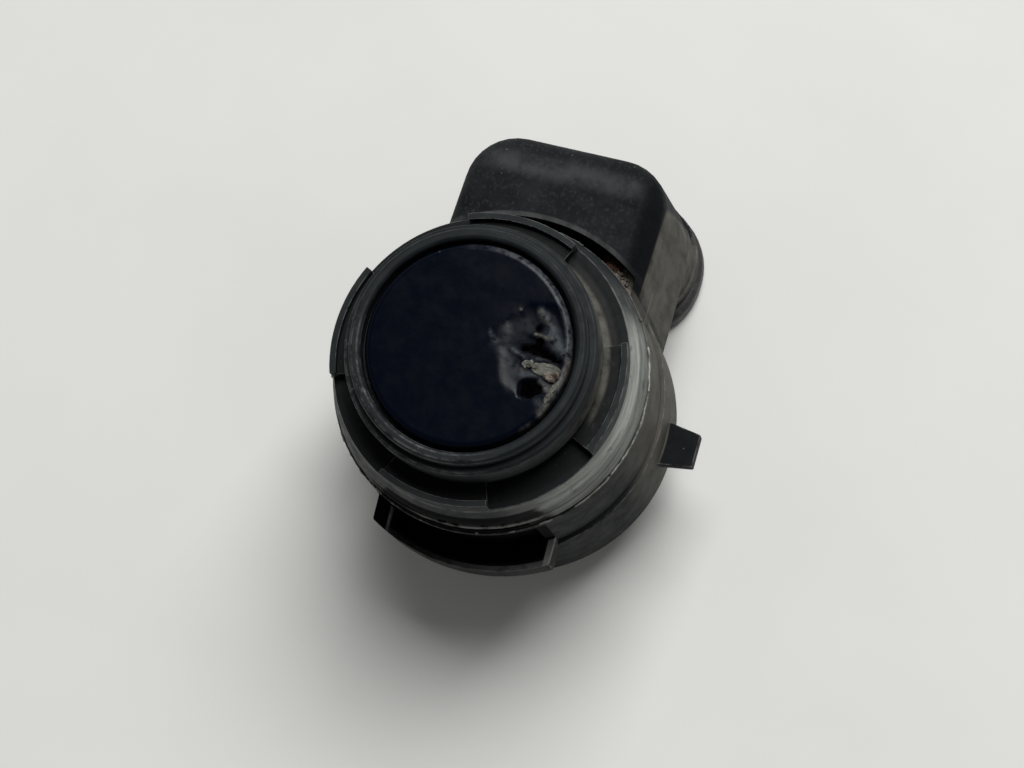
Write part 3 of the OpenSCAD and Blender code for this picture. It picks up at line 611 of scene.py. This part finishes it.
# Scuffs lie where the dent's slopes catch the light, so they paint its highlight as well as scuffed
# paint.
SCUFFS_AND_SHEEN = (
    ((4.55, 3.7), (5.1, 3.2), 0.6, 1.0), ((5.3, 3.05), (5.85, 2.75), 0.5, 0.8),
    ((5.95, 2.3), (7.05, 1.1), 0.85, 0.9), ((1.5, 1.3), (1.95, 0.7), 0.4, 0.6),
    ((2.1, 0.3), (3.2, -0.45), 0.6, 0.2), ((3.0, -0.45), (4.2, -1.1), 0.75, 0.34),
    ((3.4, -1.3), (4.1, -2.4), 0.55, 0.12), ((3.2, 0.6), (4.3, 0.25), 0.35, 0.8),
    ((6.3, -2.9), (6.6, -3.7), 0.45, 0.5), ((5.2, 0.25), (6.3, 0.35), 0.35, 0.5),
    ((5.9, -1.25), (6.8, -1.9), 0.45, 0.9), ((4.6, -1.1), (5.6, -0.95), 0.4, 0.7),
    ((3.0, 3.2), (4.2, 2.6), 0.9, 0.15),
)
BARE = (
    ((3.16, 3.56), (3.2, 3.58), 0.17, 1.0), ((4.7, 2.02), (4.86, 1.97), 0.24, 1.0),
    ((5.05, 2.0), (5.8, 1.84), 0.2, 0.8), ((4.6, 3.7), (5.1, 3.2), 0.35, 0.5),
    ((7.62, 0.7), (7.6, -0.3), 0.3, 0.9), ((7.5, -0.4), (7.2, -1.5), 0.45, 1.0),
    ((7.1, -1.6), (6.95, -2.6), 0.4, 0.9), ((6.9, -2.9), (6.65, -3.8), 0.34, 0.7),
    ((6.3, -4.5), (5.7, -5.2), 0.25, 0.4), ((6.2, -1.45), (6.75, -1.9), 0.3, 0.7),
    ((4.35, -0.75), (4.6, -0.6), 0.25, 0.6),
)
STRAY = 0.4  # how far the dent's outline and marks stray
FOLD_RISE, CREASE_RISE = 0.16, 0.07
CRACK_DEPTH, HOLE_DEPTH = 0.3, 0.45
RIM_R, RIM_TURN, RIM_SHARE = 7.2, (-30.0, 115.0), 0.8  # scuffs and painted highlight along the lit side of the membrane's edge
FACE_CUTS, FACE_STEPS = 74, 240  # fineness of the membrane from its middle out and round it
PIT_FLOOR = 0.05  # what is left of the membrane's wall under the deepest places


def dent_at(x, y, depth):
    """Height of the dented membrane at a place, how bare it is, how black with painted shade, how
    dented, and how scuffed with painted highlight.
    """
    wx = x + STRAY * noise.noise(Vector((x * 0.7, y * 0.7, 1.3)))
    wy = y + STRAY * noise.noise(Vector((x * 0.7, y * 0.7, 7.9)))
    r, angle = hypot(x, y), degrees(atan2(y, x))
    # The bowl slopes gently at its lower left and is shallow near the membrane's edge
    inside = hypot((wx - DENT[0]) / DENT_REACH[0], (wy - DENT[1]) / DENT_REACH[1])
    slope = 0.28 + 0.5 * fade((5.6 - x) / 3.0) * fade((3.2 - y) / 2.4)
    bowl = fade((1.0 - inside) / slope) * (1.0 - 0.75 * fade((r - 6.8) / 0.7))
    folds = noise.voronoi(Vector((wx * 0.8, wy * 0.8, 2.0)))[0][0]
    creases = noise.voronoi(Vector((x * 1.9, y * 1.9, 5.0)))[0][0]
    relief = FOLD_RISE * (folds - 0.3) + CREASE_RISE * (creases - 0.3)
    # The crack strays less than the dent, and the hole has a ragged edge
    cx, cy = x + 0.3 * (wx - x), y + 0.3 * (wy - y)
    crack = max(near(cx, cy, a, b, reach) for a, b, reach in CRACK)
    torn = 1.05 + 0.25 * noise.noise(Vector((x * 2.0, y * 2.0, 4.4)))
    from_hole = hypot((x - HOLE[0]) / HOLE_REACH[0], (y - HOLE[1]) / HOLE_REACH[1])
    hole = fade((torn - from_hole) / 0.2)
    height = bowl * (relief - depth) - CRACK_DEPTH * crack * bowl - HOLE_DEPTH * hole
    height += sum(near(wx, wy, a, b, reach) * rise for a, b, reach, rise in RIDGES) * bowl
    # Along the lit side of the edge, the scuffs also paint the edge's highlight
    rim = RIM_SHARE * fade((r - RIM_R) / 0.2) * fade((angle - RIM_TURN[0]) / 25.0)
    rim *= fade((RIM_TURN[1] - angle) / 40.0)
    # Painted shade: the hole and the crack are painted black
    black = max(hole, fade(1.8 * crack) * bowl)
    scuff = max(rim, strongest(wx, wy, SCUFFS_AND_SHEEN)) * (1.0 - black)
    return height, strongest(x, y, BARE) * (1.0 - hole), black, bowl, scuff


class SENSOR_OT_membrane(bpy.types.Operator):
    """Turns the membrane's cup and presses the torn dent into its face."""

    bl_idname = "sensor.membrane"
    bl_label = "Membrane"

    def execute(self, context):
        s = context.scene.sensor_sizes
        low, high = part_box("membrane_cup")
        top, end, r, e = high.z, low.z, s.membrane_r, s.membrane_edge
        flange, back = end + s.cup_flange, top - s.membrane_wall
        arc = [(r - e + e * sin(a), top - e + e * cos(a))
               for a in (radians(15 * k) for k in range(1, 6))]
        points = [(0.0, top), (r - e, top), *arc, (r, top - e), (r, flange), (high.x, flange),
                  (high.x, end), (s.cup_r, end), (s.cup_r, back), (0.0, back)]
        bm = bmesh.new()
        verts = [bm.verts.new((x, 0.0, z)) for x, z in points]
        edges = [bm.edges.new(pair) for pair in zip(verts, verts[1:])]
        bmesh.ops.subdivide_edges(bm, edges=edges[:1], cuts=FACE_CUTS)
        full_turn(bm, FACE_STEPS)
        bmesh.ops.remove_doubles(bm, verts=bm.verts, dist=WELD)
        bmesh.ops.recalc_face_normals(bm, faces=bm.faces)
        bare, pit_shade, dent, scuff = (bm.verts.layers.float.new(name)
                                  for name in ("bare", "pit_shade", "dent", "scuff"))
        for v in bm.verts:
            if v.co.z > top - e - WELD:
                height, v[bare], v[pit_shade], v[dent], v[scuff] = dent_at(
                    v.co.x / MM, v.co.y / MM, s.dent_depth / MM)
                v.co.z = max(v.co.z + height * MM, back + PIT_FLOOR * MM)
        for face in bm.faces:
            # Faces deep in the hole and crack take the near-black painted shade
            face.material_index = int(min(v[pit_shade] for v in face.verts) > 0.5)
        piece = add_piece("membrane", bm, membrane_finish(context.scene.sensor_colours),
                          ("membrane_cup",), sharp=60.0)
        piece.data.materials.append(hole_shade_finish())
        return {"FINISHED"}


# Each flap's middle, half length, half width, lift, curl and whiteness, in millimetres
FLAPS = (
    ((6.2, -0.42), (1.1, 0.1), (-0.1, 0.5), 0.08, 0.25, 0.85),
    ((6.7, -0.78), (0.6, 0.12), (-0.12, 0.42), 0.22, 0.15, 0.0),
    ((4.76, -0.27), (0.42, 0.16), (-0.1, 0.26), 0.12, 0.12, 1.0),
    ((7.12, -1.62), (0.16, -0.05), (0.1, 0.4), 0.06, 0.1, 0.7),
    ((6.9, -2.45), (0.16, -0.06), (0.12, 0.38), 0.05, 0.1, 0.8),
)
FLAP_THICK, FLAP_WAVE = 0.05, 0.12


class SENSOR_OT_flaps(bpy.types.Operator):
    """Lays curled flaps of torn paint in the dent."""

    bl_idname = "sensor.flaps"
    bl_label = "Torn paint"

    def execute(self, context):
        depth = context.scene.sensor_sizes.dent_depth / MM
        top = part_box("membrane_cup")[1].z / MM
        bm = bmesh.new()
        tone = bm.verts.layers.float.new("white")
        for middle, along, across, lift, curl, white in FLAPS:
            grid = bmesh.ops.create_grid(bm, x_segments=12, y_segments=8, size=1.0)["verts"]
            for v in grid:
                u = v.co.x * sqrt(1.0 - v.co.y ** 2 / 2)
                w = v.co.y * sqrt(1.0 - v.co.x ** 2 / 2)
                wave = FLAP_WAVE * noise.noise(Vector((u * 2.4, w * 2.4, middle[0])))
                x = middle[0] + u * along[0] + w * across[0] + wave
                y = middle[1] + u * along[1] + w * across[1] - wave
                ground = top + max(dent_at(x, y, depth)[0], -depth)
                shaded_bend = curl * sin(pi * 0.3 * (w + 1.0))
                v.co = Vector((x, y, ground + lift + shaded_bend + 0.5 * wave)) * MM
                v[tone] = max(white, 0.6 * fade((w - 0.1) / 0.6))
            thicken(bm, list({f for v in grid for f in v.link_faces}), -FLAP_THICK * MM)
        bmesh.ops.recalc_face_normals(bm, faces=bm.faces)
        add_piece("torn_paint_flaps", bm, flap_finish())
        return {"FINISHED"}


class SENSOR_OT_soft_ring(bpy.types.Operator):
    """Dresses the soft ring with rounded, scuffed edges."""

    bl_idname = "sensor.soft_ring"
    bl_label = "Soft ring"

    def execute(self, context):
        bm = node_copy("decoupling_ring")
        round_edges(bm, context.scene.sensor_sizes.ring_round, angle=30.0, segments=3)
        add_piece("soft_ring", bm, silicone_finish(context.scene.sensor_colours),
                  ("decoupling_ring",))
        return {"FINISHED"}


class SENSOR_OT_front_ring(bpy.types.Operator):
    """Dresses the front ring with worn lips and rounded edges."""

    bl_idname = "sensor.front_ring"
    bl_label = "Front ring"

    def execute(self, context):
        bm = node_copy("front_ring")
        round_edges(bm, context.scene.sensor_sizes.front_round, angle=30.0)
        add_piece("castellated_ring", bm, ring_finish(context.scene.sensor_colours),
                  ("front_ring",))
        return {"FINISHED"}


# The burr's place, in millimetres, and where it is nearly whole or broken off, in degrees
SEAM_R, SEAM_RISE = 12.34, 0.05
BURR_WHOLE, BURR_BREAK = (-42, 24), (6.0, 8.0)
BURR_STEPS = 360
WHOLE_LEVEL, BROKEN_LEVEL = -0.55, 0.3  # noise below this level breaks it, there and elsewhere


class SENSOR_OT_burr(bpy.types.Operator):
    """Runs a broken pale burr along the seam between the front ring and the housing."""

    bl_idname = "sensor.burr"
    bl_label = "Seam burr"

    def execute(self, context):
        place = Vector((SEAM_R * MM, 0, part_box("housing")[1].z + SEAM_RISE * MM))
        bm = bmesh.new()
        burr_r = context.scene.sensor_sizes.burr_r
        made = bmesh.ops.create_circle(bm, radius=burr_r, segments=6)
        turn = Matrix.Rotation(radians(90), 4, "X")
        bmesh.ops.transform(bm, matrix=Matrix.Translation(place) @ turn, verts=made["verts"])
        full_turn(bm, BURR_STEPS)
        for v in bm.verts:
            along = Vector((v.co.x, v.co.y, 0)) / MM
            wobble = noise.noise(along * 0.7) * 0.07 + noise.noise(along * 2.3) * 0.06
            v.co += (along.normalized() * wobble + Vector((0, 0, 0.5 * wobble))) * MM
        gone = [f for f in bm.faces if self.broken(f.calc_center_median())]
        bmesh.ops.delete(bm, geom=gone, context="FACES")
        bmesh.ops.holes_fill(bm, edges=[e for e in bm.edges if e.is_boundary], sides=8)
        bmesh.ops.recalc_face_normals(bm, faces=bm.faces)
        add_piece("seam_burr", bm, burr_finish(), sharp=60.0)
        return {"FINISHED"}

    def broken(self, place):
        """Whether the burr has gone at a place."""
        angle = degrees(atan2(place.y, place.x))
        level = noise.noise(Vector((angle * 0.22, 1.7, 0.0)))
        level += 0.5 * noise.noise(Vector((angle * 0.8, 5.1, 0.0)))
        least = WHOLE_LEVEL if BURR_WHOLE[0] < angle < BURR_WHOLE[1] else BROKEN_LEVEL
        return level < least or BURR_BREAK[0] < angle < BURR_BREAK[1]


# The level of the shroud's front, and the radii between which its edge runs along the gap
SHROUD_FRONT, GAP_EDGE_R = -8.0, (13.4, 13.7)


def at_gap(place):
    """Whether an edge lies on the shroud's front along the gap, in millimetres."""
    return (place.y > 8.0 and abs(place.z - SHROUD_FRONT) < 0.1
            and GAP_EDGE_R[0] < place.xy.length < GAP_EDGE_R[1])


class SENSOR_OT_housing(bpy.types.Operator):
    """Dresses the housing with rounded, worn edges."""

    bl_idname = "sensor.housing"
    bl_label = "Housing"

    def execute(self, context):
        s = context.scene.sensor_sizes
        bm = node_copy("housing")
        round_edges(bm, s.gap_round, angle=40.0, segments=3, keep=at_gap)
        round_edges(bm, s.shell_round, angle=32.0)
        add_piece("housing_shell", bm, housing_finish(context.scene.sensor_colours),
                  ("housing",))
        return {"FINISHED"}


class SENSOR_OT_collar(bpy.types.Operator):
    """Dresses the collar round the connector's mouth."""

    bl_idname = "sensor.collar"
    bl_label = "Collar"

    def execute(self, context):
        s = context.scene.sensor_sizes
        low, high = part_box("connector_collar")
        bm = bmesh.new()
        outline = (low.x, low.y), (high.x, low.y), (high.x, high.y), (low.x, high.y)
        corners = [bm.verts.new((x, y, low.z)) for x, y in outline]
        bm.faces.new(corners)
        bmesh.ops.bevel(bm, geom=corners, offset=s.collar_corner, offset_type="OFFSET",
                        affect="VERTICES", segments=12, profile=0.5, material=-1)
        plate = bm.faces[:]
        bmesh.ops.inset_region(bm, faces=plate, thickness=s.collar_band, use_even_offset=True,
                               use_boundary=True)
        bmesh.ops.delete(bm, geom=plate, context="FACES")
        thicken(bm, bm.faces[:], high.z - low.z)
        bmesh.ops.recalc_face_normals(bm, faces=bm.faces)
        round_edges(bm, s.collar_round, angle=40.0, segments=4)
        add_piece("mouth_collar", bm, collar_finish(context.scene.sensor_colours),
                  ("connector_collar",))
        return {"FINISHED"}


# The soil in the end of the gap, in degrees round the axis and millimetres. The bed's turn and
# radius are a middle and half a width, and the crumbs' are limits.
BED_TURN, BED_R, BED_LEVEL, BED_THICK = (58.0, 9.5), (12.97, 0.6), -9.5, 0.8
CRUMBS, CRUMB_TURN, CRUMB_R = 34, (53.0, 65.0), (12.6, 13.4)
CRUMB_LEVEL, CRUMB_SIZE = -9.4, (0.1, 0.2)
SAG, SAG_FROM, SAG_OVER = 0.9, 62.0, 5.0  # depth of the sag, where it starts and its length
PALE_END, PALE_STRAY, PALE_SOFT = 61.0, 3.0, 2.0  # where the bed turns dark, and how unevenly
PALE_CRUMBS = 59.5  # crumbs before this turn are pale


def round_axis(turn, r, z):
    """A place at that turn round the sensing axis and that distance from it."""
    return Vector((r * cos(radians(turn)), r * sin(radians(turn)), z))


def sag(turn):
    """How far the soil lies lower towards its far end."""
    return SAG * fade((turn - SAG_FROM) / SAG_OVER)


def crumb(bm, place, mm, rng, pale):
    """One uneven crumb of soil, pale or dark."""
    tone = bm.verts.layers.float.get("pale")
    made = bmesh.ops.create_icosphere(bm, subdivisions=2, radius=mm * MM)
    seed = Vector((rng.random(), rng.random(), rng.random())) * 9.0
    squash = Vector((rng.uniform(0.7, 1.3), rng.uniform(0.7, 1.3), rng.uniform(0.45, 0.75)))
    for v in made["verts"]:
        v.co *= 1.0 + 0.35 * noise.noise(v.co.normalized() * 1.6 + seed)
        v.co = v.co * squash + place * MM
        v[tone] = pale


class SENSOR_OT_soil(bpy.types.Operator):
    """Beds soil with crumbs in the end of the gap before the connector."""

    bl_idname = "sensor.soil"
    bl_label = "Soil crumbs"

    def execute(self, context):
        rng = random.Random(context.scene.sensor_stage.seed)
        bm = bmesh.new()
        tone = bm.verts.layers.float.new("pale")
        bed = bmesh.ops.create_grid(bm, x_segments=40, y_segments=12, size=1.0)["verts"]
        for v in bed:
            turn = BED_TURN[0] + BED_TURN[1] * v.co.x
            place = round_axis(turn, BED_R[0] + BED_R[1] * v.co.y, BED_LEVEL)
            lumps = 0.3 * noise.noise(place * 1.3) + 0.2 * noise.noise(place * 3.7)
            place.z += lumps - sag(turn)
            v.co = place * MM
            stray = PALE_STRAY * noise.noise(place * 1.7)
            v[tone] = fade((PALE_END + stray - turn) / PALE_SOFT)
        thicken(bm, list({f for v in bed for f in v.link_faces}), -BED_THICK * MM)
        for _ in range(CRUMBS):
            turn, r = rng.uniform(*CRUMB_TURN), rng.uniform(*CRUMB_R)
            spot = round_axis(turn, r, CRUMB_LEVEL - sag(turn))
            crumb(bm, spot, rng.uniform(*CRUMB_SIZE), rng, float(turn < PALE_CRUMBS))
        bmesh.ops.recalc_face_normals(bm, faces=bm.faces)
        add_piece("soil_crumbs", bm, soil_finish(context.scene.sensor_colours),
                  sharp=80.0)
        return {"FINISHED"}


# Each slot's light tone, dark tone, patches in millimetres, roughness and share of metal
INSIDES = {
    "ceramic": ((0.62, 0.58, 0.47), (0.5, 0.46, 0.36), 1.5, 0.5, 0.0),
    "foam": ((0.34, 0.34, 0.31), (0.24, 0.24, 0.21), 0.8, 0.9, 0.0),
    "wire_red": ((0.5, 0.05, 0.03), (0.38, 0.03, 0.02), 0.6, 0.45, 0.0),
    "wire_black": ((0.03, 0.03, 0.035), (0.018, 0.018, 0.02), 0.6, 0.45, 0.0),
    "board": ((0.02, 0.1, 0.045), (0.012, 0.07, 0.03), 2.0, 0.35, 0.0),
    "chip_black": ((0.02, 0.02, 0.022), (0.032, 0.032, 0.034), 0.6, 0.55, 0.0),
    "ferrite": ((0.06, 0.06, 0.065), (0.04, 0.04, 0.043), 0.7, 0.6, 0.0),
    "bobbin_plastic": ((0.55, 0.52, 0.42), (0.45, 0.42, 0.33), 1.2, 0.5, 0.0),
    "copper": ((0.6, 0.25, 0.1), (0.45, 0.17, 0.06), 0.5, 0.35, 1.0),
    "can": ((0.6, 0.6, 0.62), (0.5, 0.5, 0.52), 1.2, 0.35, 1.0),
    "chip_tan": ((0.4, 0.28, 0.15), (0.3, 0.2, 0.1), 0.5, 0.5, 0.0),
    "contact": ((0.6, 0.5, 0.25), (0.46, 0.37, 0.17), 0.9, 0.3, 1.0),
    "resin": ((0.015, 0.015, 0.017), (0.03, 0.03, 0.032), 2.5, 0.3, 0.0),
}


class SENSOR_OT_insides(bpy.types.Operator):
    """Finishes the pieces inside, the terminals and the resin."""

    bl_idname = "sensor.insides"
    bl_label = "Insides"

    def execute(self, context):
        finishes = {slot: plain_finish(slot, *tones) for slot, tones in INSIDES.items()}
        for part in frame["record"]["subparts"]:
            if part["material_slot"] in finishes:
                mesh = NODES[part["node"]].data
                mesh.materials.clear()
                mesh.materials.append(finishes[part["material_slot"]])
        return {"FINISHED"}


# The key light's direction, distance and side, in metres
KEY_TOWARD, KEY_DISTANCE, KEY_SIDE = (0.14, 0.48, 0.865), 0.8, 0.46
# Heights between which the sky fades to its zenith, and places from its near to its far side
SKY_FADE, SKY_SIDES = (0.45, 0.85), (-0.7, 0.7)
# The camera's place in millimetres, its right and its up
CAMERA_SPOT = (45.356, -35.487, 185.74)
CAMERA_RIGHT, CAMERA_UP = (0.9476, 0.2737, -0.1650), (-0.2335, 0.9455, 0.2271)
FILM_WIDTH = 36.0


def lay_floor(s):
    """Lays the pale floor under the sensor."""
    bm = bmesh.new()
    bmesh.ops.create_grid(bm, x_segments=1, y_segments=1, size=s.floor_size / 2)
    bmesh.ops.translate(bm, verts=bm.verts, vec=(0, 0, CAD_BOX[0].z))
    mesh = bpy.data.meshes.new("floor")
    bm.to_mesh(mesh)
    bm.free()
    f = Finish("pale_floor", Roughness=0.8, Specular_IOR_Level=0.2)
    shade = tuple(0.96 * c for c in s.floor)
    mesh.materials.append(f.done(f.coat(s.floor, shade, f.patches(30.0, 0.3, 0.7, 4.0))))
    floor = bpy.data.objects.new("floor", mesh)
    bpy.context.scene.collection.objects.link(floor)


def light_sky(s):
    """Lights the sensor from all round, less from above and from away from the connector."""
    world = bpy.data.worlds.new("even_light")
    world.use_nodes = True
    tree = world.node_tree
    sky = tree.nodes["Background"]
    sky.inputs["Color"].default_value = (1.0, 1.0, 1.0, 1.0)
    split = tree.nodes.new("ShaderNodeSeparateXYZ")
    place = tree.nodes.new("ShaderNodeTexCoord").outputs["Generated"]
    tree.links.new(place, split.inputs[0])
    strength = tree.nodes.new("ShaderNodeMath")
    strength.operation = "MULTIPLY"
    ramps = ("Z", *SKY_FADE, s.sky, s.zenith), ("Y", *SKY_SIDES, s.near_share, 1.0)
    for socket, (axis, *ramp) in enumerate(ramps):
        part = tree.nodes.new("ShaderNodeMapRange")
        for name, value in zip(("From Min", "From Max", "To Min", "To Max"), ramp):
            part.inputs[name].default_value = value
        tree.links.new(split.outputs[axis], part.inputs["Value"])
        tree.links.new(part.outputs[0], strength.inputs[socket])
    tree.links.new(strength.outputs[0], sky.inputs["Strength"])
    bpy.context.scene.world = world


def light_key(s):
    """Adds a square soft light that faces the sensor."""
    lamp = bpy.data.lights.new("key_light", "AREA")
    lamp.shape, lamp.size, lamp.energy = "SQUARE", KEY_SIDE, s.key
    light = bpy.data.objects.new("key_light", lamp)
    away = Vector(KEY_TOWARD).normalized()
    turn = away.to_track_quat("Z", "Y").to_matrix().to_4x4()
    light.matrix_world = Matrix.Translation(away * KEY_DISTANCE) @ turn
    bpy.context.scene.collection.objects.link(light)


def place_camera(s):
    """Puts the camera above the membrane, to its right and a little to the near side."""
    lens = bpy.data.cameras.new("camera")
    lens.lens, lens.sensor_width, lens.sensor_fit = s.lens, FILM_WIDTH, "HORIZONTAL"
    lens.clip_start, lens.clip_end = 0.01, 10.0
    camera = bpy.data.objects.new("camera", lens)
    right, up = Vector(CAMERA_RIGHT).normalized(), Vector(CAMERA_UP)
    up = (up - right * up.dot(right)).normalized()
    turn = Matrix((right, up, right.cross(up))).transposed().to_4x4()
    camera.matrix_world = Matrix.Translation(Vector(CAMERA_SPOT) * MM) @ turn
    bpy.context.scene.collection.objects.link(camera)
    bpy.context.scene.camera = camera


class SENSOR_OT_stage(bpy.types.Operator):
    """Sets the pale floor, the even sky, the soft light and the camera."""

    bl_idname = "sensor.stage"
    bl_label = "Stage"

    def execute(self, context):
        s = context.scene.sensor_stage
        lay_floor(s)
        light_sky(s)
        light_key(s)
        place_camera(s)
        context.scene.view_settings.view_transform = "Standard"
        return {"FINISHED"}


STEPS = (SENSOR_OT_membrane, SENSOR_OT_flaps, SENSOR_OT_soft_ring, SENSOR_OT_front_ring,
         SENSOR_OT_burr, SENSOR_OT_housing, SENSOR_OT_collar, SENSOR_OT_soil, SENSOR_OT_insides,
         SENSOR_OT_stage)


class SENSOR_PT_pieces(bpy.types.Panel):
    """Lists the pieces of the sensor with their sizes and colours."""

    bl_idname = "SENSOR_PT_pieces"
    bl_label = "Parking Sensor"
    bl_space_type = "VIEW_3D"
    bl_region_type = "UI"
    bl_category = "Sensor"

    def draw(self, context):
        for step in STEPS:
            self.layout.operator(step.bl_idname)
        scene = context.scene
        for group in (scene.sensor_sizes, scene.sensor_colours, scene.sensor_stage):
            box = self.layout.box()
            for name in group.__annotations__:
                box.prop(group, name)


CLASSES = (SensorSizes, SensorColours, SensorStage, *STEPS, SENSOR_PT_pieces)


def register():
    for cls in CLASSES:
        bpy.utils.register_class(cls)
    bpy.types.Scene.sensor_sizes = PointerProperty(type=SensorSizes)
    bpy.types.Scene.sensor_colours = PointerProperty(type=SensorColours)
    bpy.types.Scene.sensor_stage = PointerProperty(type=SensorStage)


def unregister():
    del bpy.types.Scene.sensor_stage, bpy.types.Scene.sensor_colours, bpy.types.Scene.sensor_sizes
    for cls in reversed(CLASSES):
        bpy.utils.unregister_class(cls)


def main():
    register()
    bpy.ops.sensor.membrane()
    bpy.ops.sensor.flaps()
    bpy.ops.sensor.soft_ring()
    bpy.ops.sensor.front_ring()
    bpy.ops.sensor.burr()
    bpy.ops.sensor.housing()
    bpy.ops.sensor.collar()
    bpy.ops.sensor.soil()
    bpy.ops.sensor.insides()
    bpy.ops.sensor.stage()


if __name__ == "__main__":
    main()
